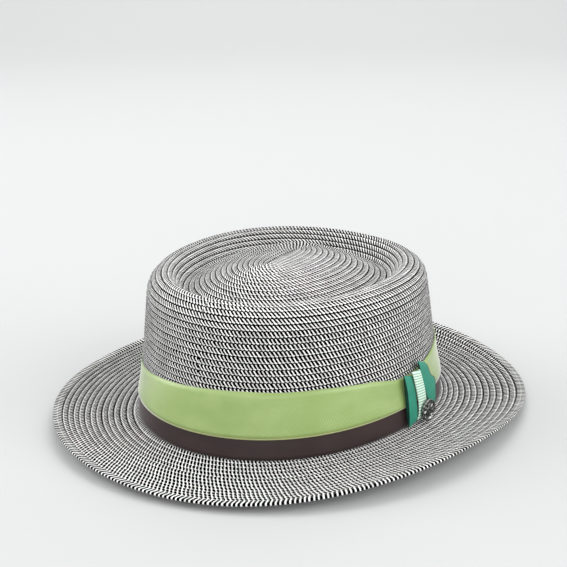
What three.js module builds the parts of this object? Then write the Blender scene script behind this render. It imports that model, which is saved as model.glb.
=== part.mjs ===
// Porkpie hat in sewn straw braid, with two ribbons, a side bow and a small metal badge.
// Millimetres, +Z up. The hat's front faces -Y and its bow is on the +X side.
// The origin is on the surface that the brim rests on, under the middle of the brim's outline.
import * as THREE from 'three'
import { mergeVertices } from 'three/addons/utils/BufferGeometryUtils.js'

// Straw: one wall for crown and brim
const strawWall = 1.9
const footHalfWidth = 87.5      // outer face of the crown's foot, from the middle to a side
const footHalfLength = 99.7     // the same, from the middle to the front or back
const frontNarrowing = 0.08     // the oval of a head: narrower in front, wider behind
const cornerFullness = 0.02     // how much fuller than an ellipse the oval is
const crownHeight = 85.4        // from the top of the brim at the foot to the crest
const sideLean = 8.4            // how far each side leans in on its way up
const endLean = 13              // how far the front and back lean in
const crownForward = 2.8        // how far forward the crest sits over the foot
const footHeight = 4.6          // top of the brim at the foot, above the surface
const footFillet = 1.2

// Tip: rounded crest, a groove inside it and a dome sewn round a straight core
const crestRadius = 10
const innerCrestRadius = 6
const innerSlope = 50           // degrees, the flank between the crest and the groove
const grooveDepth = 10.5
const grooveRadius = 6
const domeRise = 4.6            // top of the dome, above the crest
const domeFullness = 1.2        // 1 is a cosine wave; more is a flatter top
const coreHalfWidth = 3.6
const coreHalfLength = 20

// Brim
const brimFront = 51.5
const brimSide = 51
const brimBack = 58
const brimWave = 9              // from the lowest to the highest place of the edge
const brimDish = 3.05           // how far the middle of the brim sags below foot and edge
const brimCurl = 1.5            // 1 rises evenly from foot to edge; more rises late, near the edge
const edgeLow = 3.5             // top of the edge at its lowest place, above the surface
const brimEdge = [
  { at: 15, height: 0.2 },
  { at: 78, height: 1.0 },
  { at: 138, height: 0 },
  { at: 195, height: 0.67 },
  { at: 253, height: 0 },
  { at: 318, height: 0.6 },
]

// Ribbons and bow. What lies on something keeps this clearance to it.
const clearance = 0.3
const ribbonThickness = 0.6
const ribbonFoot = 1.3          // lower edge of the brown ribbon, above the brim
const brownShows = 12.1         // height of brown left free below the lime ribbon
const brownTucked = 6           // how far brown runs up under lime
const limeHeight = 26.1
const limeStep = 6.5            // height in which lime settles from over brown on to the crown
const loopDepth = 2.6
const knotWidth = 9.6
const knotAt = 2                // along the ribbon, from the middle of the side to the back
const badgeDiameter = 12
const badgeThickness = 1.4
const badgeBevel = 0.35
const badgeRim = 1.2
const badgeAt = 8.6
const badgeLift = 6.8           // centre of the badge, above the brown ribbon's lower edge
const badgeTurn = 12            // degrees that the badge faces towards the front

// Loops of the bow: at is the middle along the ribbon, drop the top below lime's upper edge,
// lean how far the lower end is nearer the back than the upper end
const frontLoop = { at: -7.4, width: 10, height: 29.5, drop: 8.1, lean: 0 }
const backLoop = { at: 15.6, width: 14, height: 31, drop: 4.6, lean: 9 }

// The knot's ribbon from its top down: height as a share of half the taller loop's height,
// thicknesses over that, and how far it is bent in, as a share of the loops' depth
const knotLine = [
  { height: 1, over: 2.2, inward: 1 },
  { height: 1, over: 2.2, inward: 0.5 },
  { height: 1, over: 1, inward: -0.15 },
  { height: 0.8, over: 0, inward: -0.19 },
  { height: 0.3, over: 0, inward: -0.19 },
  { height: -0.3, over: 0, inward: -0.19 },
  { height: -0.95, over: 0, inward: -0.19 },
]

// Places of the rings across the brim, from its edge in, and of the lines along a ribbon
const brimShares = [1, 0.9, 0.8, 0.68, 0.54, 0.4, 0.25, 0.1]
const ribbonShares = [-0.5, -0.17, 0.17, 0.5]

const aroundSteps = 60
const degree = Math.PI / 180
const crownTopHalfWidth = footHalfWidth - sideLean
const crownTopHalfLength = footHalfLength - endLean

// A point on the crown: angle 0 is the front and 90 degrees the bow side, out is the
// distance outside the crown's outer face, up the height over the brim at the foot.
function crownPoint(angle, out, up) {
  const rise = up / crownHeight
  const inward = Math.max(0, -out) / crownTopHalfWidth
  const coreStretch = coreHalfLength - coreHalfWidth - (crownTopHalfLength - crownTopHalfWidth)
  const halfWidth = footHalfWidth - sideLean * rise + out
  const halfLength = footHalfLength - endLean * rise + out + coreStretch * inward ** 2
  const full = 1 + cornerFullness * Math.sin(2 * angle) ** 2
  const narrow = 1 - frontNarrowing * Math.cos(angle)
  const x = halfWidth * Math.sin(angle) * full * narrow
  const y = -halfLength * Math.cos(angle) * full - crownForward * rise
  return new THREE.Vector3(x, y, footHeight + up)
}

// Half a cosine wave between the neighbouring rows of the edge's table
function edgeShare(angle) {
  const at = ((angle / degree) % 360 + 360) % 360
  const rows = brimEdge.length
  let before = rows - 1
  while (before >= 0 && brimEdge[before].at > at) before -= 1
  const low = brimEdge[(before + rows) % rows]
  const high = brimEdge[(before + 1) % rows]
  const span = (high.at - low.at + 360) % 360
  const part = ((at - low.at + 360) % 360) / span
  return low.height + (high.height - low.height) * (1 - Math.cos(Math.PI * part)) / 2
}

function brimWidth(angle) {
  const end = Math.cos(angle) > 0 ? brimFront : brimBack
  return brimSide + (end - brimSide) * Math.cos(angle) ** 2
}

// A point of the brim's upper face, or of the lower one where below is the wall. Share 0 is
// at the crown's foot and 1 at the edge. The lower face lies flat where it meets the surface.
function brimPoint(angle, share, below) {
  const foot = crownPoint(angle, 0, 0)
  const ahead = crownPoint(angle + degree, 0, 0).sub(crownPoint(angle - degree, 0, 0))
  const outward = new THREE.Vector3(ahead.y, -ahead.x, 0).normalize()
  if (outward.dot(foot) < 0) outward.negate()
  const edgeTop = edgeLow + brimWave * edgeShare(angle)
  const height = footHeight + (edgeTop - footHeight) * share ** brimCurl
  const sag = brimDish * 4 * share * (1 - share)
  const underside = Math.max(0, height - sag - strawWall)
  const point = foot.addScaledVector(outward, brimWidth(angle) * share)
  point.z = underside + strawWall - below
  return point
}

function arc(centreOut, centreUp, radius, from, to, steps) {
  const points = []
  for (let i = 0; i <= steps; i += 1) {
    const turn = (from + (to - from) * i / steps) * degree
    points.push({ out: centreOut + radius * Math.cos(turn), up: centreUp + radius * Math.sin(turn) })
  }
  return points
}

// Outline of the crown's outer face, from the foot up over the crest to the core
function crownOutline() {
  const crestOut = -crestRadius
  const slope = innerSlope * degree
  const radii = innerCrestRadius + grooveRadius
  const flankDrop = grooveDepth - radii * (1 - Math.cos(slope))
  const grooveOut = crestOut - radii * Math.sin(slope) - flankDrop / Math.tan(slope)
  const innerCrestUp = crownHeight - innerCrestRadius
  const grooveUp = crownHeight - grooveDepth
  const domeOut = coreHalfWidth - crownTopHalfWidth
  const domeUp = crownHeight + domeRise
  const outline = [
    ...arc(footFillet, footFillet, footFillet, 270, 180, 2),
    ...arc(crestOut, crownHeight - crestRadius, crestRadius, 0, 90, 5),
    ...arc(crestOut, innerCrestUp, innerCrestRadius, 90 + innerSlope / 2, 90 + innerSlope, 1),
    ...arc(grooveOut, grooveUp + grooveRadius, grooveRadius, 270 + innerSlope, 280, 2),
  ]
  const domeSteps = 8
  for (let i = 1; i <= domeSteps; i += 1) {
    const share = i / domeSteps
    const out = grooveOut + (domeOut - grooveOut) * share
    const swell = Math.cos(Math.PI / 2 * (1 - share) ** domeFullness)
    outline.push({ out, up: grooveUp + (domeUp - grooveUp) * swell })
  }
  return outline
}

// The same outline one wall further in
function insideOf(outline) {
  return outline.map((point, i) => {
    const last = outline[Math.max(i - 1, 0)]
    const next = outline[Math.min(i + 1, outline.length - 1)]
    const run = Math.hypot(next.out - last.out, next.up - last.up)
    return {
      out: point.out - strawWall * (next.up - last.up) / run,
      up: point.up + strawWall * (next.out - last.out) / run,
    }
  })
}

// Skin over rings of points. The rings close into a loop, or each end gets a cap.
function skin(rings, isLoop) {
  const count = rings[0].length
  const points = rings.flat()
  const faces = []
  const ringPairs = isLoop ? rings.length : rings.length - 1
  for (let r = 0; r < ringPairs; r += 1) {
    const next = (r + 1) % rings.length
    for (let i = 0; i < count; i += 1) {
      const j = (i + 1) % count
      const [a, b, c, d] = [r * count + i, r * count + j, next * count + j, next * count + i]
      faces.push(a, b, c, a, c, d)
    }
  }
  if (!isLoop) {
    for (const ring of [rings[0], rings[rings.length - 1]]) {
      const start = points.indexOf(ring[0])
      const centre = points.length
      points.push(ring.reduce((sum, point) => sum.add(point), new THREE.Vector3()).divideScalar(count))
      for (let i = 0; i < count; i += 1) {
        const [a, b] = [start + i, start + (i + 1) % count]
        if (ring === rings[0]) faces.push(centre, b, a)
        else faces.push(centre, a, b)
      }
    }
  }
  let volume = 0
  for (let i = 0; i < faces.length; i += 3) {
    const [a, b, c] = [points[faces[i]], points[faces[i + 1]], points[faces[i + 2]]]
    volume += a.dot(b.clone().cross(c)) / 6
  }
  if (volume < 0) faces.reverse()
  const geometry = new THREE.BufferGeometry()
  geometry.setAttribute('position', new THREE.Float32BufferAttribute(points.flatMap((p) => p.toArray()), 3))
  geometry.setIndex(faces)
  return mergeVertices(geometry, 1e-4)
}

function around(makePoint) {
  return Array.from({ length: aroundSteps }, (_, i) => makePoint(2 * Math.PI * i / aroundSteps))
}

function strawShell() {
  const outline = crownOutline()
  const inside = insideOf(outline)
  const rings = []
  for (const point of [...outline].reverse()) {
    rings.push(around((angle) => crownPoint(angle, point.out, point.up)))
  }
  for (const share of [...brimShares].reverse()) rings.push(around((angle) => brimPoint(angle, share, 0)))
  for (const share of brimShares) rings.push(around((angle) => brimPoint(angle, share, strawWall)))
  for (const point of inside) rings.push(around((angle) => crownPoint(angle, point.out, point.up)))
  return skin(rings, false)
}

// A ribbon round the crown: its section is a list of places on its inner face
function band(section) {
  const outer = [...section].reverse().map(({ out, up }) => ({ out: out + ribbonThickness, up }))
  const ring = [...section, ...outer]
  const rings = Array.from({ length: aroundSteps }, (_, i) => (
    ring.map(({ out, up }) => crownPoint(2 * Math.PI * i / aroundSteps, out, up))
  ))
  return skin(rings, true)
}

const limeFoot = ribbonFoot + brownShows
const limeTop = limeFoot + limeHeight
const brownTop = limeFoot + brownTucked
const overBrown = 2 * clearance + ribbonThickness
const overLime = overBrown + ribbonThickness + clearance

function brownBand() {
  return band([
    { out: clearance, up: ribbonFoot },
    { out: clearance, up: brownTop },
  ])
}

function limeBand() {
  return band([
    { out: overBrown, up: limeFoot },
    { out: overBrown, up: brownTop + clearance },
    { out: clearance, up: brownTop + limeStep },
    { out: clearance, up: limeTop },
  ])
}

// A point of the bow: along the ribbon from the middle of the side, up, and out
function bowPoint(along, up, out) {
  return crownPoint(Math.PI / 2 + along / footHalfLength, out, up)
}

// A flat section across a ribbon: its width runs along the band, its thickness outward
function ribbonSection(middle, width, place, nextPlace) {
  const run = Math.hypot(nextPlace.up - place.up, nextPlace.out - place.out)
  const inUp = -ribbonThickness * (nextPlace.out - place.out) / run
  const inOut = ribbonThickness * (nextPlace.up - place.up) / run
  const corners = []
  for (const across of ribbonShares) {
    corners.push(bowPoint(middle + across * width, place.up, place.out))
  }
  for (const across of [...ribbonShares].reverse()) {
    corners.push(bowPoint(middle + across * width, place.up + inUp, place.out + inOut))
  }
  return corners
}

// A ribbon loop that stands upright on the band: two straight sides, round at top and foot
function bowLoop({ at, width, height, drop, lean }) {
  const middle = limeTop - drop - height / 2
  const radius = loopDepth / 2
  const bendSteps = 6
  const places = []
  for (const end of [1, -1]) {
    const centreUp = middle + end * (height / 2 - radius)
    for (let i = 0; i <= bendSteps; i += 1) {
      const turn = Math.PI * i / bendSteps
      places.push({
        up: centreUp + end * radius * Math.sin(turn),
        out: overLime + radius - end * radius * Math.cos(turn),
      })
    }
  }
  const rings = places.map((here, i) => {
    const tilt = (middle - here.up) / height
    const before = places[(i + places.length - 1) % places.length]
    const after = places[(i + 1) % places.length]
    const ahead = { up: here.up + after.up - before.up, out: here.out + after.out - before.out }
    return ribbonSection(at + lean * tilt, width, here, ahead)
  })
  return skin(rings, true)
}

// The knot: one turn of ribbon over the loops, its two ends bent in to the band
function bowKnot() {
  const front = overLime + loopDepth + clearance
  const middle = limeTop - backLoop.drop - backLoop.height / 2
  const places = knotLine.map(({ height, over, inward }) => ({
    up: middle + height * backLoop.height / 2 + over * ribbonThickness,
    out: front - inward * (loopDepth + ribbonThickness),
  }))
  const rings = places.map((here, i) => {
    const next = places[Math.min(i + 1, places.length - 1)]
    const last = places[Math.max(i - 1, 0)]
    const ahead = { up: here.up + next.up - last.up, out: here.out + next.out - last.out }
    return ribbonSection(knotAt, knotWidth, here, ahead)
  })
  return skin(rings, false)
}

function badgeDisc() {
  const radius = badgeDiameter / 2
  const profile = [
    new THREE.Vector2(0, 0),
    new THREE.Vector2(radius - badgeBevel, 0),
    new THREE.Vector2(radius, badgeBevel),
    new THREE.Vector2(radius, badgeThickness - badgeBevel),
    new THREE.Vector2(radius - badgeBevel, badgeThickness),
    new THREE.Vector2(radius - badgeRim, badgeThickness - badgeBevel),
    new THREE.Vector2(0, badgeThickness - badgeBevel),
  ]
  const geometry = new THREE.LatheGeometry(profile, 28)
  geometry.deleteAttribute('normal')
  geometry.deleteAttribute('uv')
  return mergeVertices(geometry, 1e-4)
}

function piece(name, geometry, color, roughness, metalness) {
  const material = new THREE.MeshStandardMaterial({ color, roughness, metalness })
  const mesh = new THREE.Mesh(geometry, material)
  mesh.name = name
  return mesh
}

const hat = new THREE.Group()
hat.add(piece('straw_shell', strawShell(), 0xb4b4b2, 0.75, 0))
hat.add(piece('brown_band', brownBand(), 0x45393a, 0.5, 0))
hat.add(piece('lime_band', limeBand(), 0xb9d188, 0.6, 0))
hat.add(piece('bow_loop_front', bowLoop(frontLoop), 0x36856f, 0.5, 0))
hat.add(piece('bow_loop_back', bowLoop(backLoop), 0x36856f, 0.5, 0))
hat.add(piece('bow_knot', bowKnot(), 0xd8ece0, 0.5, 0))

const badge = piece('badge', badgeDisc(), 0x4a4d4c, 0.35, 0.9)
const knotFace = overLime + loopDepth + ribbonThickness + clearance
const badgeOut = knotFace + clearance + badgeDiameter / 2 * Math.sin(badgeTurn * degree)
badge.position.copy(bowPoint(badgeAt, ribbonFoot + badgeLift, badgeOut))
badge.rotation.set(0, 0, -Math.PI / 2 - badgeTurn * degree)
hat.add(badge)
hat.position.y = (brimFront - brimBack) / 2

export default hat
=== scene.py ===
import math

import bpy
import numpy as np
from mathutils import Matrix, Vector


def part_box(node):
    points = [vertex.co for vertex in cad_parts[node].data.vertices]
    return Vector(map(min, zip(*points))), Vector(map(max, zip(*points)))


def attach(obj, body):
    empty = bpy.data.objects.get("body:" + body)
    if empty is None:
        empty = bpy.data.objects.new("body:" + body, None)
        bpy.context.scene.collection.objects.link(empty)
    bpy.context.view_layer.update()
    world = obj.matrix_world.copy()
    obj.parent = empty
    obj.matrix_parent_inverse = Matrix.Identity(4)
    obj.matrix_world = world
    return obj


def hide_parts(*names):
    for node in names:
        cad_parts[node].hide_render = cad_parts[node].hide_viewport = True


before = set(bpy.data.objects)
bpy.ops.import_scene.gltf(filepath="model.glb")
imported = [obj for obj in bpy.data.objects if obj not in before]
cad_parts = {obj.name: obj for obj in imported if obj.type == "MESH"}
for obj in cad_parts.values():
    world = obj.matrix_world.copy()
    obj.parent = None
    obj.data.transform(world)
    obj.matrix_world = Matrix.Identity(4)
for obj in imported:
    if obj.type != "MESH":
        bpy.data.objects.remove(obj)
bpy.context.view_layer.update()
MM = 0.001
rng = np.random.default_rng(7)

# Crown and brim, the same driving dimensions as the solids
FOOT_HALF_WIDTH = 87.5
FOOT_HALF_LENGTH = 99.7
FRONT_NARROWING = 0.08
CORNER_FULLNESS = 0.02
CROWN_HEIGHT = 85.4
SIDE_LEAN = 8.4
END_LEAN = 13
CROWN_FORWARD = 2.8
FOOT_HEIGHT = 4.6
CREST_RADIUS = 10
INNER_CREST_RADIUS = 6
INNER_SLOPE = 50
GROOVE_DEPTH = 10.5
GROOVE_RADIUS = 6
DOME_RISE = 4.6
DOME_FULLNESS = 1.2
CORE_HALF_WIDTH = 3.6
CORE_HALF_LENGTH = 20
BRIM_FRONT = 51.5
BRIM_SIDE = 51
BRIM_BACK = 58
BRIM_WAVE = 9
BRIM_DISH = 3.05
BRIM_CURL = 1.5
EDGE_LOW = 3.5
BRIM_EDGE = [(15, 0.2), (78, 1.0), (138, 0.0), (195, 0.67), (253, 0.0), (318, 0.6)]
STRAW_WALL = 1.9
LEFT_REACH = 1.2  # the braid reaches this much past the solid on the side without the bow
TOP_HALF_WIDTH = FOOT_HALF_WIDTH - SIDE_LEAN
TOP_HALF_LENGTH = FOOT_HALF_LENGTH - END_LEAN
FRAME_SHIFT = (BRIM_FRONT - BRIM_BACK) / 2

# Ribbons: heights above the brim at the crown's foot
RIBBON_FOOT = 1.0  # the brown solid starts 0.3 higher
LIME_FOOT = 13.4
LIME_TOP = 39.5
BROWN_TOP = 19.4
# (degrees from the front, how much narrower the lime ribbon is there)
LIME_DIP = [
    (-150, 0), (-110, 4), (-75, 7.6), (-55, 7.6), (-38, 5.5), (-24, 3.1), (-8, 1.2), (5, 0),
    (20, -0.8), (35, -0.2), (50, 0.2), (60, 1.6), (70, 3.4), (81, 7.8), (90, 8.5), (101, 6.5),
    (115, 3.2), (150, 0),
]

# Braid
ROW_PITCH = 3.6
EDGE_ROW = 5.0  # width of the outermost row
EDGE_THICKNESS = 1.5
BRIM_ROWS = 13
STROKE_PITCH = 2.3
BRIM_STROKES = (2.05, 2.46)  # stroke pitch at the crown's foot and at the edge
COHERENT_AT = 48  # degrees from the front where the strokes of all the brim's rows line up
STROKE_JOG = 0.16  # most that a brim row is off that, as a share of the stroke pitch
AROUND = 400  # steps round the hat in a row
WALL_UNDER_LIME = 13  # how far down behind the lime ribbon the wall's rows run
INSIDE_ROWS = 48
LOWEST = 0.05  # the braid's least height over the floor


def around(steps):
    """Turns of one whole round, as a column."""
    return np.linspace(0, 2 * np.pi, steps + 1)[:, None]


def run_along(points):
    """How far along a line of points each of them is."""
    return np.concatenate([[0], np.cumsum(np.linalg.norm(np.diff(points, axis=0), axis=1))])


def crown(turn, out, up):
    """Points of the crown: turn from the front towards the bow, out from its outer face, up."""
    rise = up / CROWN_HEIGHT
    inward = np.maximum(0, -out) / TOP_HALF_WIDTH
    stretch = CORE_HALF_LENGTH - CORE_HALF_WIDTH - (TOP_HALF_LENGTH - TOP_HALF_WIDTH)
    half_width = FOOT_HALF_WIDTH - SIDE_LEAN * rise + out
    half_length = FOOT_HALF_LENGTH - END_LEAN * rise + out + stretch * inward**2
    full = 1 + CORNER_FULLNESS * np.sin(2 * turn) ** 2
    narrow = 1 - FRONT_NARROWING * np.cos(turn)
    x = half_width * np.sin(turn) * full * narrow
    y = -half_length * np.cos(turn) * full - CROWN_FORWARD * rise + FRAME_SHIFT
    return np.stack(np.broadcast_arrays(x, y, FOOT_HEIGHT + up), axis=-1)


def edge_share(turn):
    """How high the brim's edge is, as a share of its whole wave."""
    at = np.degrees(turn) % 360
    share = np.zeros_like(at)
    for i, (low_at, low) in enumerate(BRIM_EDGE):
        high_at, high = BRIM_EDGE[(i + 1) % len(BRIM_EDGE)]
        span = (high_at - low_at) % 360
        part = ((at - low_at) % 360) / span
        blend = low + (high - low) * (1 - np.cos(np.pi * part)) / 2
        share = np.where(part < 1, blend, share)
    return share


def brim_width(turn):
    end = np.where(np.cos(turn) > 0, BRIM_FRONT, BRIM_BACK)
    left = LEFT_REACH * np.maximum(0, -np.sin(turn)) ** 2
    return BRIM_SIDE + (end - BRIM_SIDE) * np.cos(turn) ** 2 + left


def brim(turn, share):
    """Points of the brim's upper face: share 0 is at the crown's foot and 1 at the edge."""
    foot = crown(turn, 0.0, 0.0)
    step = math.radians(1)
    ahead = crown(turn + step, 0.0, 0.0) - crown(turn - step, 0.0, 0.0)
    outward = np.stack([ahead[..., 1], -ahead[..., 0]], axis=-1)
    outward /= np.linalg.norm(outward, axis=-1, keepdims=True)
    edge_top = EDGE_LOW + BRIM_WAVE * edge_share(turn)
    sag = BRIM_DISH * 4 * share * (1 - share)
    height = FOOT_HEIGHT + (edge_top - FOOT_HEIGHT) * np.maximum(share, 0) ** BRIM_CURL
    underside = np.maximum(0, height - sag - STRAW_WALL)
    x = foot[..., 0] + outward[..., 0] * brim_width(turn) * share
    y = foot[..., 1] + outward[..., 1] * brim_width(turn) * share
    z = underside + STRAW_WALL
    return np.stack(np.broadcast_arrays(x, y, z), axis=-1)


def arc(centre_out, centre_up, radius, start, end, steps=12):
    turn = np.radians(np.linspace(start, end, steps + 1))
    return np.stack([centre_out + radius * np.cos(turn), centre_up + radius * np.sin(turn)], -1)


def crown_profile():
    """(length, out, up) along the crown's outer face, from the core over the crest and down."""
    crest_out = -CREST_RADIUS
    slope = math.radians(INNER_SLOPE)
    radii = INNER_CREST_RADIUS + GROOVE_RADIUS
    slope_drop = GROOVE_DEPTH - radii * (1 - math.cos(slope))
    groove_out = crest_out - radii * math.sin(slope) - slope_drop / math.tan(slope)
    groove_up = CROWN_HEIGHT - GROOVE_DEPTH
    inner_crest_up = CROWN_HEIGHT - INNER_CREST_RADIUS
    dome_out = CORE_HALF_WIDTH - TOP_HALF_WIDTH
    dome_up = CROWN_HEIGHT + DOME_RISE
    share = np.linspace(1, 0, 60)
    swell = np.cos(np.pi / 2 * (1 - share) ** DOME_FULLNESS)
    dome = np.stack(
        [groove_out + (dome_out - groove_out) * share, groove_up + (dome_up - groove_up) * swell], -1
    )
    line = np.concatenate(
        [
            [[-TOP_HALF_WIDTH, dome_up]],
            dome[:-3],
            arc(groove_out, groove_up + GROOVE_RADIUS, GROOVE_RADIUS, 285, 270 + INNER_SLOPE),
            arc(crest_out, inner_crest_up, INNER_CREST_RADIUS, 90 + INNER_SLOPE, 95),
            arc(crest_out, CROWN_HEIGHT - CREST_RADIUS, CREST_RADIUS, 90, 0),
            [[0, 40], [0, 20], [0, 0]],
        ]
    )
    length = np.concatenate([[0], np.cumsum(np.hypot(*np.diff(line, axis=0).T))])
    fine = np.linspace(0, length[-1], 1200)
    out = np.interp(fine, length, line[:, 0])
    up = np.interp(fine, length, line[:, 1])
    width = 9
    kernel = np.hanning(2 * width + 1)
    kernel /= kernel.sum()
    out = np.convolve(np.pad(out, width, mode="edge"), kernel, mode="valid")
    up = np.convolve(np.pad(up, width, mode="edge"), kernel, mode="valid")
    return fine, out, up


PROFILE_LENGTH, PROFILE_OUT, PROFILE_UP = crown_profile()


def crown_at(turn, length):
    """Points of the crown at a length along its profile."""
    out = np.interp(length, PROFILE_LENGTH, PROFILE_OUT)
    up = np.interp(length, PROFILE_LENGTH, PROFILE_UP)
    return crown(turn, out, up)


def raised(surface, turn, across, height):
    """Points of a surface moved along its outward normal by height. Across is a share of the
    width on the brim, and a length in mm on the crown."""
    step_turn = 1e-3
    step_across = 1e-3 if surface is brim else 0.1
    point = surface(turn, across)
    along = surface(turn + step_turn, across) - surface(turn - step_turn, across)
    down = surface(turn, across + step_across) - surface(turn, across - step_across)
    normal = np.cross(down, along)
    size = np.linalg.norm(normal, axis=-1, keepdims=True)
    normal = np.where(size > 1e-9, normal / np.maximum(size, 1e-9), [0, 0, 1])
    return point + normal * height[..., None]


def new_mesh(name, points, faces, uvs, material, nodes):
    """An object from arrays: points in mm, four-cornered faces, and a UV pair for each corner."""
    mesh = bpy.data.meshes.new(name)
    mesh.from_pydata((points * MM).tolist(), [], faces.tolist())
    layer = mesh.uv_layers.new(name="braid")
    layer.data.foreach_set("uv", uvs.reshape(-1).astype(np.float32))
    mesh.polygons.foreach_set("use_smooth", np.ones(len(faces), dtype=bool))
    mesh.update()
    thing = bpy.data.objects.new(name, mesh)
    bpy.context.scene.collection.objects.link(thing)
    thing.data.materials.append(material)
    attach(thing, "root")
    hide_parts(*nodes)
    return thing


def strips_mesh(name, strips, material, nodes):
    """Joins strips, each a grid of points with u and v grids, into one object."""
    points, faces, uvs, start = [], [], [], 0
    for grid, u, v in strips:
        rows, cols = grid.shape[:2]
        index = start + np.arange(rows * cols).reshape(rows, cols)
        corners = [index[:-1, :-1], index[:-1, 1:], index[1:, 1:], index[1:, :-1]]
        faces.append(np.stack(corners, -1).reshape(-1, 4))
        uv = np.stack([u, v], -1)
        sides = [uv[:-1, :-1], uv[:-1, 1:], uv[1:, 1:], uv[1:, :-1]]
        uvs.append(np.stack(sides, -2).reshape(-1, 4, 2))
        points.append(grid.reshape(-1, 3))
        start += rows * cols
    points, faces, uvs = (np.concatenate(parts) for parts in (points, faces, uvs))
    return new_mesh(name, points, faces, uvs, material, nodes)


# Height of a braid row over the straw's face, across the row: its first edge is a rounded
# selvage that lies on the row before, and its last part runs under the next row
ROW_PROFILE = [
    (0.0, -0.3),
    (0.01, 0.14),
    (0.06, 0.38),
    (0.15, 0.45),
    (0.36, 0.34),
    (0.62, 0.12),
    (0.86, -0.16),
    (1.0, -0.46),
    (1.14, -0.75),
]
ROW_SHARES, ROW_HEIGHTS = np.array(ROW_PROFILE).T[:, None, :]


def row_v(row, shares):
    """v of places across a row: its whole part is the row, the rest the place across it."""
    return row + 0.02 + 0.96 * np.clip(shares, 0, 1)


def wander(turn, size):
    """A small wave round the hat, different for each row."""
    wave = np.zeros_like(turn)
    for cycles in (2, 3, 5, 9, 14):
        phase = rng.uniform(0, 2 * np.pi)
        wave += np.sin(cycles * turn + phase) * rng.uniform(0.3, 1) / cycles**0.6
    return size * wave


def crown_row(row):
    """One turn of the sewn spiral: row 0 starts at the core."""
    turn = around(AROUND)
    length = ROW_PITCH * (row - 1 + turn / (2 * np.pi) + ROW_SHARES)
    length = length + wander(turn, 0.1) * np.clip(length / 20, 0, 1)
    length = np.clip(length, 0, PROFILE_LENGTH[-1])
    turns = np.broadcast_to(turn, length.shape)
    height = np.broadcast_to(ROW_HEIGHTS, length.shape) + wander(turn, 0.04)
    grid = raised(crown_at, turns, length, height)
    middle = crown_at(turn[:, 0], ROW_PITCH * (row - 0.5 + turn[:, 0] / (2 * np.pi)).clip(0))
    u = np.broadcast_to((run_along(middle) + rng.uniform(0, 50))[:, None], length.shape)
    return grid, u, np.broadcast_to(row_v(row, ROW_SHARES), length.shape)


def brim_share(turn, place):
    """Where a place counted in rows from the crown's foot is across the brim. Towards the edge
    the rows get wider on the bow's side and narrower on the other one."""
    inner = 1 - EDGE_ROW / brim_width(turn)
    return inner * np.maximum(place / BRIM_ROWS, 0) ** (1 + 0.16 * np.sin(turn))


def ring_uv(turn, middle, v, pitch=STROKE_PITCH):
    """u and v of a closed ring of braid, with a whole number of strokes of about this pitch."""
    run = run_along(middle)
    whole = round(run[-1] / pitch) * STROKE_PITCH
    run = run - np.interp(math.radians(COHERENT_AT), turn[:, 0], run)
    u = (run * whole / (run[-1] - run[0]))[:, None]
    shape = (len(turn), v.shape[1])
    return np.broadcast_to(u, shape), np.broadcast_to(v, shape)


def closed_wander(turn, size):
    wave = wander(turn, size)
    wave[-1] = wave[0]
    return wave


def brim_row(row):
    """One ring of braid on the brim: row 0 is at the crown's foot."""
    turn = around(AROUND)
    share = brim_share(turn, row + ROW_SHARES)
    share = np.maximum(share + closed_wander(turn, 0.12) / BRIM_SIDE, 0)
    turns = np.broadcast_to(turn, share.shape)
    grid = raised(brim, turns, share, np.broadcast_to(ROW_HEIGHTS, share.shape))
    pitch = np.interp(row, (0, BRIM_ROWS), BRIM_STROKES)
    middle = brim(turn[:, 0], share[:, 3])
    u, v = ring_uv(turn, middle, row_v(row, ROW_SHARES), pitch)
    return grid, u + STROKE_PITCH * rng.uniform(-STROKE_JOG, STROKE_JOG), v


def edge_row():
    """The outermost row, bare over its whole width, with the rounded rim and its underside."""
    turn = around(2 * AROUND)
    # share of the row's width, height over the brim's face
    section = [
        (0.0, -0.3), (0.01, 0.14), (0.04, 0.4), (0.12, 0.48), (0.48, 0.3), (0.76, 0.14),
        (0.89, 0.06), (0.95, -0.12), (0.985, -0.4), (1.0, -0.75), (0.98, -1.15), (0.94, -1.4),
        (0.8, -EDGE_THICKNESS), (0.3, -EDGE_THICKNESS), (-0.2, -EDGE_THICKNESS),
    ]
    reach, height = np.array(section).T[:, None, :]
    share = 1 - EDGE_ROW * (1 - reach) / brim_width(turn)
    turns = np.broadcast_to(turn, share.shape)
    share_wave = closed_wander(turn, 0.12) / BRIM_SIDE
    grid = raised(brim, turns, share + share_wave, np.broadcast_to(height, share.shape))
    grid[..., 2] = np.maximum(grid[..., 2], LOWEST)
    middle = brim(turn[:, 0], 0.93 + 0 * turn[:, 0])
    return grid, *ring_uv(turn, middle, row_v(0, reach), BRIM_STROKES[1])


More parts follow.
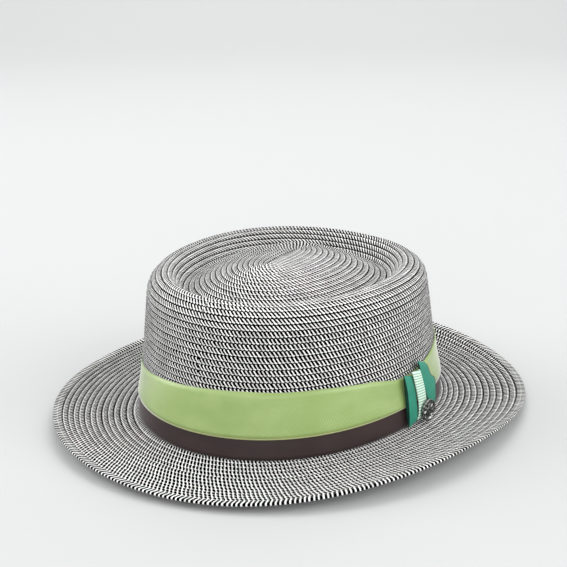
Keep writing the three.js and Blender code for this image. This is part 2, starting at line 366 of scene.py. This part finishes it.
# Node trees
class Tree:
    """Short calls for building a material's node tree."""

    def __init__(self, name):
        self.material = bpy.data.materials.new(name)
        self.material.use_nodes = True
        self.nodes = self.material.node_tree.nodes
        self.links = self.material.node_tree.links
        self.shader = self.nodes["Principled BSDF"]

    def put(self, socket, value):
        if isinstance(value, bpy.types.NodeSocket):
            self.links.new(value, socket)
        else:
            socket.default_value = value

    def math(self, operation, *values):
        node = self.nodes.new("ShaderNodeMath")
        node.operation = operation
        for socket, value in zip(node.inputs, values):
            self.put(socket, value)
        return node.outputs[0]

    def uv(self):
        node = self.nodes.new("ShaderNodeUVMap")
        node.uv_map = "braid"
        split = self.nodes.new("ShaderNodeSeparateXYZ")
        self.links.new(node.outputs[0], split.inputs[0])
        return split.outputs[0], split.outputs[1]

    def join(self, x, y, z=0.0):
        node = self.nodes.new("ShaderNodeCombineXYZ")
        for socket, value in zip(node.inputs, (x, y, z)):
            self.put(socket, value)
        return node.outputs[0]

    def noise(self, vector, scale, detail=2.0):
        node = self.nodes.new("ShaderNodeTexNoise")
        self.put(node.inputs["Vector"], vector)
        node.inputs["Scale"].default_value = scale
        node.inputs["Detail"].default_value = detail
        return node.outputs[0]

    def white(self, vector):
        node = self.nodes.new("ShaderNodeTexWhiteNoise")
        self.links.new(vector, node.inputs["Vector"])
        return node.outputs[0]

    def place(self):
        node = self.nodes.new("ShaderNodeTexCoord")
        return node.outputs["Object"]

    def step(self, value, low, high):
        node = self.nodes.new("ShaderNodeMapRange")
        node.interpolation_type = "SMOOTHSTEP"
        for socket, number in zip(node.inputs, (value, low, high, 0.0, 1.0)):
            self.put(socket, number)
        return node.outputs[0]

    def mix(self, share, first, second):
        node = self.nodes.new("ShaderNodeMix")
        node.data_type = "RGBA"
        self.put(node.inputs[0], share)
        self.put(node.inputs[6], first)
        self.put(node.inputs[7], second)
        return node.outputs[2]

    def bump(self, height, distance, strength):
        node = self.nodes.new("ShaderNodeBump")
        node.inputs["Strength"].default_value = strength
        node.inputs["Distance"].default_value = distance
        self.links.new(height, node.inputs["Height"])
        self.links.new(node.outputs[0], self.shader.inputs["Normal"])


WHITE_STRAND = (0.95, 0.95, 0.94, 1)
GREY_STRAND = (0.5, 0.5, 0.49, 1)
# black for the dark strokes and for the painted shade of the crevices between rows
BLACK_STRAND_AND_SHADE = (0.002, 0.002, 0.0025, 1)


def straw_material(name, slope, level, thread_and_highlight, shade_from):
    """Braid strands: slanting strokes across a row. slope is how many stroke pitches a stroke
    runs along the row for a whole row's width, level rises with the dark strokes' width,
    thread_and_highlight says where a nearly unbroken light line starts and ends and how light it
    is, a line that is partly the braid's own light strands and partly painted highlight of the
    row's lit edge, and shade_from is where the row sinks into the crevice, whose shade is painted
    black."""
    tree = Tree(name)
    u, rows = tree.uv()
    v = tree.math("FRACT", rows)
    row = tree.math("FLOOR", rows)
    run = tree.math("DIVIDE", u, STROKE_PITCH)
    lean = tree.math("MULTIPLY", v, slope)
    place = tree.join(tree.math("MULTIPLY", u, 0.2), tree.math("MULTIPLY", row, 7.3))
    shake = tree.math("SUBTRACT", tree.noise(place, 1.0), 0.5)
    phase = tree.math("ADD", tree.math("SUBTRACT", run, lean), tree.math("MULTIPLY", shake, 0.5))
    wave = tree.math("SINE", tree.math("MULTIPLY", phase, 2 * math.pi))
    strand = tree.white(tree.join(tree.math("FLOOR", phase), row))
    light = tree.step(wave, level - 0.1, level + 0.1)
    # a light line along the row: partly the braid's own light strands, partly painted highlight of
    # the row's lit edge
    start, end, strength = thread_and_highlight
    past = tree.step(v, start, start + 0.04)
    short = tree.step(v, end + 0.04, end)
    along = tree.math("MULTIPLY", past, short)
    inside = tree.math("MULTIPLY", along, tree.step(wave, -1.0, -0.6))
    light = tree.math("MAXIMUM", light, tree.math("MULTIPLY", inside, strength))
    # painted shade: the crevice where the row runs under the next one is painted black, scalloped by
    # the strands
    shade_edge = tree.math("ADD", shade_from, tree.math("MULTIPLY", wave, 0.09))
    clear = tree.step(tree.math("SUBTRACT", v, shade_edge), 0.03, -0.03)
    tone = tree.math("ADD", 0.4, tree.math("MULTIPLY", strand, 0.6))
    white = tree.mix(tone, GREY_STRAND, WHITE_STRAND)
    colour = tree.mix(tree.math("MULTIPLY", light, clear), BLACK_STRAND_AND_SHADE, white)
    tree.put(tree.shader.inputs["Base Color"], colour)
    tree.shader.inputs["Roughness"].default_value = 0.6
    tree.shader.inputs["Specular IOR Level"].default_value = 0.0
    round_strand = tree.math("POWER", tree.math("ABSOLUTE", wave), 0.6)
    tree.bump(round_strand, 0.3 * MM, 0.5)
    return tree.material


straw = straw_material("straw braid", 1.0, 0.42, (0.6, 0.75, 1.0), 0.78)
straw_tip = straw_material("straw braid, tip", 1.4, 0.28, (0.56, 0.72, 1.0), 0.74)
straw_brim = straw_material("straw braid, brim", 0.8, 0.54, (0.58, 0.72, 1.0), 0.76)
straw_edge = straw_material("straw braid, edge row", -0.5, 0.35, (0.45, 0.55, 0.5), 2.0)
straw_plain = straw_material("straw braid, inside", 1.0, 0.42, (0.6, 0.75, 1.0), 0.78)


def length_at(up, first):
    """Where the profile comes down to a height. From its point number first on it only falls."""
    return float(np.interp(-up, -PROFILE_UP[first:], PROFILE_LENGTH[first:]))


def under_ribbons():
    """The wall behind the ribbons and its foot, a plain face with the same strands."""
    turn = around(240)
    up = np.array([LIME_TOP - 11, 24, 13, 5, 2.5, 0.8, 0.0, -0.6])[None, :]
    out = np.array([-0.9, -0.9, -0.9, -0.7, -0.2, 0.1, 0.5, 1.2])[None, :]
    grid = crown(np.broadcast_to(turn, (len(turn), up.shape[1])), out + 0 * turn, up + 0 * turn)
    return grid, *ring_uv(turn, crown(turn[:, 0], 0.0, 0.0), 0.5 + 0 * up)


PLAIN_SHARES = np.array([0, 0.3, 0.8, 1.0])[None, :]


def turned_over(row, turn, grid):
    """A plain row whose face is on the straw's hidden side."""
    uv = ring_uv(turn, grid[:, 1], row_v(row, PLAIN_SHARES))
    return grid[:, ::-1], *(part[:, ::-1] for part in uv)


def inside_row(row):
    """A row seen from inside the crown, over the head."""
    turn = around(200)
    heights = -STRAW_WALL + 0.2 + np.array([0.25, -0.1, 0.0, 0.3])[None, :]
    length = PROFILE_LENGTH[-1] * (row + PLAIN_SHARES) / INSIDE_ROWS + 0 * turn
    turns = np.broadcast_to(turn, length.shape)
    grid = raised(crown_at, turns, length, np.broadcast_to(heights, length.shape))
    return turned_over(row, turn, grid)


def under_row(row):
    """A row on the brim's underside."""
    turn = around(300)
    dips = np.array([0.25, 0.0, 0.1, 0.3])[None, :]
    share = brim_share(turn, row + PLAIN_SHARES)
    grid = brim(np.broadcast_to(turn, share.shape), share)
    grid[..., 2] = np.maximum(grid[..., 2] - STRAW_WALL + 0.15 + dips, LOWEST)
    return turned_over(row, turn, grid)


def straw_piece(name, strips, material):
    strips_mesh(name, strips, material, ["straw_shell"])


# The spiral is the tip up to the crest, and then the wall down to behind the lime ribbon
row_count = math.ceil(length_at(LIME_TOP - WALL_UNDER_LIME, 600) / ROW_PITCH)
tip_rows = math.floor(length_at(CROWN_HEIGHT - CREST_RADIUS, 700) / ROW_PITCH)
straw_piece("straw_tip", [crown_row(row) for row in range(tip_rows)], straw_tip)
straw_piece("straw_wall", [crown_row(row) for row in range(tip_rows, row_count + 1)], straw)
straw_piece("straw_brim", [brim_row(row) for row in range(BRIM_ROWS)], straw_brim)
straw_piece("straw_brim_edge", [edge_row()], straw_edge)
straw_piece("straw_wall_foot", [under_ribbons()], straw_plain)
straw_piece("straw_inside", [inside_row(row) for row in range(INSIDE_ROWS)], straw_plain)
straw_piece("straw_underside", [under_row(row) for row in range(BRIM_ROWS)], straw_plain)


def ribbon_material(
    name, colour, pale, rib_pitch, rib_depth, sheen, coat, selvage=None, painted_edge_shade=None
):
    """Woven ribbon: fine slanting ribs, clouded with a paler tone, and where selvage gives a
    colour, a narrow edge line in it. painted_edge_shade is the colour of painted shade along both
    edges of a bow's ribbon, whose u runs from 0 to 10 across it."""
    tree = Tree(name)
    u, v = tree.uv()
    slant = tree.math("ADD", u, tree.math("MULTIPLY", v, 0.4))
    ribs = tree.math("SINE", tree.math("MULTIPLY", slant, 2 * math.pi / rib_pitch))
    thread_place = tree.join(tree.math("MULTIPLY", u, 1.5), tree.math("MULTIPLY", v, 0.25))
    weave = tree.noise(thread_place, 1.0, 3.0)
    cloud_place = tree.join(tree.math("MULTIPLY", u, 0.03), tree.math("MULTIPLY", v, 0.05))
    cloud = tree.noise(cloud_place, 1.0, 3.0)
    share = tree.math("MULTIPLY", tree.step(cloud, 0.3, 0.75), 0.5)
    tone = tree.mix(share, colour, pale)
    if selvage:
        tone = tree.mix(tree.step(v, 0.9, 0.6), tone, selvage)
    # painted shade: both edges of the ribbon darken towards the given colour
    if painted_edge_shade:
        away = tree.math("ABSOLUTE", tree.math("SUBTRACT", u, 5.0))
        tone = tree.mix(tree.step(away, 4.2, 4.7), tone, painted_edge_shade)
    tree.put(tree.shader.inputs["Base Color"], tone)
    tree.shader.inputs["Roughness"].default_value = 0.5
    tree.shader.inputs["Specular IOR Level"].default_value = 0.3
    tree.shader.inputs["Coat Weight"].default_value = coat
    tree.shader.inputs["Coat Roughness"].default_value = 0.32
    tree.shader.inputs["Sheen Weight"].default_value = sheen
    tree.shader.inputs["Sheen Roughness"].default_value = 0.3
    height = tree.math("ADD", ribs, tree.math("MULTIPLY", weave, 0.6))
    tree.bump(height, rib_depth * MM, 0.6)
    return tree.material


lime = ribbon_material(
    "lime ribbon",
    colour=(0.275, 0.4, 0.11, 1),
    pale=(0.43, 0.555, 0.23, 1),
    rib_pitch=1.6,
    rib_depth=0.06,
    sheen=1.0,
    coat=1.0,
    selvage=(0.66, 0.7, 0.3, 1),
)
brown = ribbon_material(
    "brown ribbon",
    colour=(0.034, 0.022, 0.021, 1),
    pale=(0.07, 0.038, 0.04, 1),
    rib_pitch=0.7,
    rib_depth=0.03,
    sheen=0.3,
    coat=0.15,
)
emerald = ribbon_material(
    "emerald ribbon",
    colour=(0.024, 0.235, 0.155, 1),
    pale=(0.05, 0.34, 0.23, 1),
    rib_pitch=0.8,
    rib_depth=0.04,
    sheen=0.08,
    coat=0.0,
    # painted shade along the edges of the bow's loops
    painted_edge_shade=(0.003, 0.03, 0.02, 1),
)
BAND_THICKNESS = 0.45
BOW_THICKNESS = 0.4


def band(name, line, material, node, ripple=0.0, dips=((0, 0),)):
    """A ribbon round the crown, joined under the bow, its section the given line of (out, up).
    dips lists degrees from the front and how much narrower the ribbon is there."""
    section = np.array(line, dtype=float)
    v = run_along(section)
    turn = np.linspace(math.pi / 2, 2.5 * math.pi, 481)[:, None]
    waves = np.sin(3 * turn + 1) + 0.6 * np.sin(7 * turn + 2)
    out = section[None, :, 0] + ripple * waves + 0 * turn
    foot, top = line[0][1], line[-1][1]
    dip = np.interp(np.degrees(turn), *zip(*dips), period=360)
    up = foot + (section[None, :, 1] - foot) * (1 - dip / (top - foot))
    grid = crown(np.broadcast_to(turn, out.shape), out, up)
    u = np.broadcast_to(run_along(grid[:, 0])[:, None], out.shape)
    strip = (grid, u, np.broadcast_to(v[None, :], out.shape))
    thing = strips_mesh(name, [strip], material, [node])
    thicken(thing, BAND_THICKNESS)
    return thing


def thicken(thing, thickness):
    """Gives a single surface its thickness, half to each side."""
    solid = thing.modifiers.new("thickness", "SOLIDIFY")
    solid.thickness = thickness * MM
    solid.offset = 0


brown_line = [(0.75, RIBBON_FOOT + 12.2 * k / 6) for k in range(7)] + [(0.7, BROWN_TOP)]
brown_piece = band("brown_ribbon", brown_line, brown, "brown_band")
lime_line = [
    (1.95, LIME_FOOT),
    (1.8, 16),
    (1.55, 19),
    (1.25, 23),
    (1.0, 27),
    (0.95, 32),
    (0.95, 36),
    (0.9, LIME_TOP),
]
lime_piece = band("lime_ribbon", lime_line, lime, "lime_band", 0.06, LIME_DIP)


def stripe_material():
    """White satin ribbon with slanting emerald bars."""
    tree = Tree("striped ribbon")
    u, v = tree.uv()
    bar = tree.math("DIVIDE", tree.math("ADD", v, tree.math("MULTIPLY", u, -0.12)), 1.75)
    wave = tree.math("SINE", tree.math("MULTIPLY", bar, 2 * math.pi))
    green = tree.step(wave, 0.2, 0.8)
    colour = tree.mix(green, (0.72, 0.86, 0.74, 1), (0.16, 0.46, 0.31, 1))
    tree.put(tree.shader.inputs["Base Color"], colour)
    tree.shader.inputs["Roughness"].default_value = 0.5
    tree.bump(wave, 0.04 * MM, 0.5)
    return tree.material


striped = stripe_material()


def leaf(name, stations, material, node):
    """A ribbon that runs up and down on the bow. Each station is (up, front edge, back edge, out,
    tilt), the edges measured along the ribbon band from the middle of the side, and tilt how much
    higher the front edge is than the back one."""
    cols, fine, bulge = 10, 8, 0.25
    stations = np.array(stations, dtype=float)
    count = len(stations)
    places = np.linspace(0, count - 1, (count - 1) * fine + 1)
    smooth = np.stack([catmull(stations[:, c], places) for c in range(5)], -1)
    across = np.linspace(0, 1, cols + 1)[None, :]
    along = smooth[:, 1:2] * (1 - across) + smooth[:, 2:3] * across
    up = smooth[:, 0:1] + smooth[:, 4:5] * (0.5 - across)
    out = smooth[:, 3:4] + bulge * np.sin(np.pi * across) + 0 * along
    grid = crown(np.pi / 2 + along / FOOT_HALF_LENGTH, out, up)
    strip = (grid, 10 * across + 0 * up, np.broadcast_to(run_along(grid[:, 0])[:, None], up.shape))
    thing = strips_mesh(name, [strip], material, [node])
    thicken(thing, BOW_THICKNESS)
    return thing


def catmull(values, places):
    """A smooth line through the values, at places counted in them."""
    padded = np.concatenate([[2 * values[0] - values[1]], values, [2 * values[-1] - values[-2]]])
    i = np.clip(np.floor(places).astype(int), 0, len(values) - 2)
    f = places - i
    a, b, c, d = padded[i], padded[i + 1], padded[i + 2], padded[i + 3]
    linear = (c - a) * f
    square = (2 * a - 5 * b + 4 * c - d) * f**2
    cube = (3 * b - a - 3 * c + d) * f**3
    return 0.5 * (2 * b + linear + square + cube)


OVER_LIME = 2.1
LOOP_FRONT = OVER_LIME + 2.3
# up, front edge, back edge, out, tilt
front_loop = [
    (3.0, -10.6, -4.4, OVER_LIME + 0.3, 0),
    (16.0, -10.4, -3.8, OVER_LIME + 0.2, 0),
    (29.0, -10.6, -4.6, OVER_LIME + 0.3, 1.0),
    (31.5, -11.4, -4.6, OVER_LIME + 0.7, 2.2),
    (32.4, -12.6, -4.4, OVER_LIME + 1.3, 2.6),
    (31.8, -12.8, -4.4, LOOP_FRONT - 0.3, 2.6),
    (29.0, -12.4, -4.4, LOOP_FRONT + 0.1, 1.6),
    (23.5, -11.7, -3.6, LOOP_FRONT + 0.3, 0.4),
    (15.0, -11.6, -2.9, LOOP_FRONT + 0.3, 0),
    (9.0, -11.6, -2.7, LOOP_FRONT + 0.1, 0),
    (4.0, -11.6, -3.6, LOOP_FRONT - 0.3, 0),
    (1.4, -11.4, -8.2, OVER_LIME + 1.0, 0),
]
back_loop = [
    (4.0, 14.0, 22.0, OVER_LIME + 0.2, 0),
    (18.0, 11.0, 22.0, OVER_LIME + 0.2, 0),
    (32.4, 6.4, 12.6, OVER_LIME + 0.3, 1.5),
    (35.0, 5.2, 12.0, OVER_LIME + 0.7, 2.6),
    (36.0, 4.2, 11.8, OVER_LIME + 1.3, 3.0),
    (35.3, 3.2, 12.2, LOOP_FRONT - 0.3, 2.8),
    (32.0, 3.8, 14.0, LOOP_FRONT + 0.1, 1.2),
    (25.0, 5.4, 17.2, LOOP_FRONT + 0.2, 0),
    (20.5, 6.6, 22.8, LOOP_FRONT + 0.1, 0),
    (13.0, 9.2, 22.8, LOOP_FRONT - 0.1, 0),
    (7.0, 11.2, 21.4, LOOP_FRONT - 0.4, 0),
    (4.6, 13.0, 19.6, OVER_LIME + 1.2, 0),
]
knot = [
    (33.0, -5.8, 2.4, LOOP_FRONT + 0.2, 0.6),
    (33.8, -5.9, 2.4, LOOP_FRONT + 0.7, 0.8),
    (32.6, -5.9, 2.6, LOOP_FRONT + 1.1, 0.8),
    (28.0, -5.0, 3.6, LOOP_FRONT + 1.3, 0.4),
    (21.0, -3.4, 5.2, LOOP_FRONT + 1.3, 0),
    (14.0, -2.4, 6.2, LOOP_FRONT + 1.1, 0),
    (7.0, -2.6, 5.4, LOOP_FRONT + 0.6, 0),
    (3.4, -3.4, 3.6, LOOP_FRONT - 0.4, 0),
]
front_piece = leaf("bow_front_loop", front_loop, emerald, "bow_loop_front")
back_piece = leaf("bow_back_loop", back_loop, emerald, "bow_loop_back")
knot_piece = leaf("bow_striped_knot", knot, striped, "bow_knot")


def pewter_material():
    """Dark metal with a pale grain."""
    tree = Tree("dark pewter")
    grain = tree.noise(tree.place(), 900.0, 4.0)
    tree.put(
        tree.shader.inputs["Base Color"],
        tree.mix(tree.step(grain, 0.35, 0.75), (0.07, 0.074, 0.07, 1), (0.5, 0.51, 0.48, 1)),
    )
    tree.shader.inputs["Metallic"].default_value = 1.0
    tree.shader.inputs["Roughness"].default_value = 0.24
    tree.bump(grain, 0.12 * MM, 0.5)
    return tree.material


pewter = pewter_material()
BADGE_RADIUS = 6.0
BADGE_TURN = 12
BADGE_SHIFT = (-4.4, -0.2)  # nearer the knot and lower than the solid
BADGE_STRETCH = 1.1  # taller than the solid
BADGE_SINK = 0.2
BADGE_FLUTES = 8


def badge_shape():
    """A small domed stud: a raised rim, a dished field with flutes, and a knob."""
    # radius share, height, depth of the flutes
    profile = [
        (0.0, 1.55, 0.0),
        (0.16, 1.5, 0.0),
        (0.26, 1.15, 0.05),
        (0.34, 0.95, 0.1),
        (0.5, 1.15, 0.7),
        (0.66, 1.05, 0.7),
        (0.78, 0.75, 0.12),
        (0.82, 0.95, 0.0),
        (0.88, 1.4, 0.0),
        (0.94, 1.5, 0.0),
        (0.99, 1.25, 0.0),
        (1.0, 0.8, 0.0),
        (1.0, 0.1, 0.0),
        (0.9, 0.0, 0.0),
        (0.0, 0.0, 0.0),
    ]
    turn = around(96)
    radius = BADGE_RADIUS * np.array([r for r, _, _ in profile])[None, :]
    height = np.array([h for _, h, _ in profile])[None, :]
    depth = np.array([d for _, _, d in profile])[None, :]
    height = height - depth * (0.5 + 0.5 * np.cos(BADGE_FLUTES * turn))
    flat = np.stack(np.broadcast_arrays(radius * np.cos(turn), radius * np.sin(turn), height), -1)
    return flat, turn


def badge_piece():
    """The stud, facing as its solid does."""
    flat, turn = badge_shape()
    low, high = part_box("badge")
    centre = (np.array(low) + np.array(high)) / 2 / MM
    spin = math.radians(90 - BADGE_TURN)
    facing = np.array([math.sin(spin), -math.cos(spin), 0.0])
    side = np.array([math.cos(spin), math.sin(spin), 0.0])
    upward = np.array([0.0, 0.0, 1.0])
    base = centre - facing * BADGE_SINK + side * BADGE_SHIFT[0] + upward * BADGE_SHIFT[1]
    grid = base + flat[..., 0:1] * side + flat[..., 1:2] * upward * BADGE_STRETCH
    grid = grid + flat[..., 2:3] * facing
    u = np.broadcast_to(turn * BADGE_RADIUS, grid.shape[:2])
    v = np.broadcast_to(np.linspace(0, 1, grid.shape[1])[None, :], grid.shape[:2])
    strips_mesh("pewter_badge", [(grid, u, v)], pewter, ["badge"])


badge_piece()


# Floor, backdrop, lights and camera
def plain_material(name, colour, roughness):
    tree = Tree(name)
    tree.shader.inputs["Base Color"].default_value = colour
    tree.shader.inputs["Roughness"].default_value = roughness
    tree.shader.inputs["Specular IOR Level"].default_value = 0.2
    return tree.material


def sweep():
    """Floor that curves up into a backdrop behind the hat, from the camera's side."""
    azimuth = math.radians(31.5)
    away = np.array([-math.sin(azimuth), math.cos(azimuth)])
    side = np.array([math.cos(azimuth), math.sin(azimuth)])
    turn = np.linspace(0, math.pi / 2, 13)
    bend, back, high, near, half = 0.9, 1.4, 3.0, -3.0, 3.5
    line = [(near, 0.0), (back, 0.0)]
    line += [(back + bend * math.sin(a), bend * (1 - math.cos(a))) for a in turn[1:]]
    line += [(back + bend, high)]
    points, faces = [], []
    for reach, height in line:
        for across in (-half, half):
            place = away * reach + side * across
            points.append((place[0], place[1], height))
    for i in range(len(line) - 1):
        faces.append((2 * i, 2 * i + 1, 2 * i + 3, 2 * i + 2))
    mesh = bpy.data.meshes.new("floor")
    mesh.from_pydata(points, [], faces)
    mesh.polygons.foreach_set("use_smooth", [True] * len(faces))
    floor = bpy.data.objects.new("floor", mesh)
    bpy.context.scene.collection.objects.link(floor)
    mesh.materials.append(plain_material("pale floor", (0.56, 0.565, 0.567, 1), 0.7))
    return floor


def area_light(name, place, size, energy):
    light = bpy.data.lights.new(name, "AREA")
    light.shape = "RECTANGLE"
    light.size, light.size_y = size
    light.energy = energy
    lamp = bpy.data.objects.new(name, light)
    lamp.location = place
    lamp.rotation_euler = (LAMP_TARGET - Vector(place)).to_track_quat("-Z", "Y").to_euler()
    bpy.context.scene.collection.objects.link(lamp)


floor = sweep()
LAMP_TARGET = Vector((0, 0, 0.04))
area_light("softbox behind", (-0.45, 1.0, 1.5), (1.4, 1.4), 15.0)
area_light("left panel", (-1.5, -0.6, 0.9), (1.4, 1.4), 16.5)
area_light("low fill in front", (0.9, -1.6, 0.35), (1.2, 0.6), 5.0)
area_light("right panel", (1.6, 0.2, 0.9), (1.4, 1.4), 15.0)
world = bpy.data.worlds.new("studio")
bpy.context.scene.world = world
world.use_nodes = True
world.node_tree.nodes["Background"].inputs[0].default_value = (1.0, 1.0, 1.0, 1)
world.node_tree.nodes["Background"].inputs[1].default_value = 0.9
bpy.context.scene.view_settings.view_transform = "Standard"

# Camera at the photograph's viewpoint
IMAGE_SIZE = 567
FOCAL_PIXELS = 1321.94
PRINCIPAL_X = 287.57
PRINCIPAL_Y = 283.59
VIEW_FROM = (397.56, -649.5, 330.67)
VIEW_RIGHT = Vector((0.85402, 0.52014, -0.01049))
VIEW_UP = Vector((-0.15688, 0.27670, 0.94806))
lens = bpy.data.cameras.new("camera")
lens.sensor_width = 36
lens.lens = FOCAL_PIXELS * lens.sensor_width / IMAGE_SIZE
lens.shift_x = (IMAGE_SIZE / 2 - PRINCIPAL_X) / IMAGE_SIZE
lens.shift_y = (PRINCIPAL_Y - IMAGE_SIZE / 2) / IMAGE_SIZE
lens.clip_start, lens.clip_end = 0.05, 20
camera = bpy.data.objects.new("camera", lens)
back = VIEW_RIGHT.cross(VIEW_UP)
turned = Matrix((VIEW_RIGHT, VIEW_UP, back)).transposed().to_4x4()
camera.matrix_world = Matrix.Translation(Vector(VIEW_FROM) * MM) @ turned
bpy.context.scene.collection.objects.link(camera)
bpy.context.scene.camera = camera
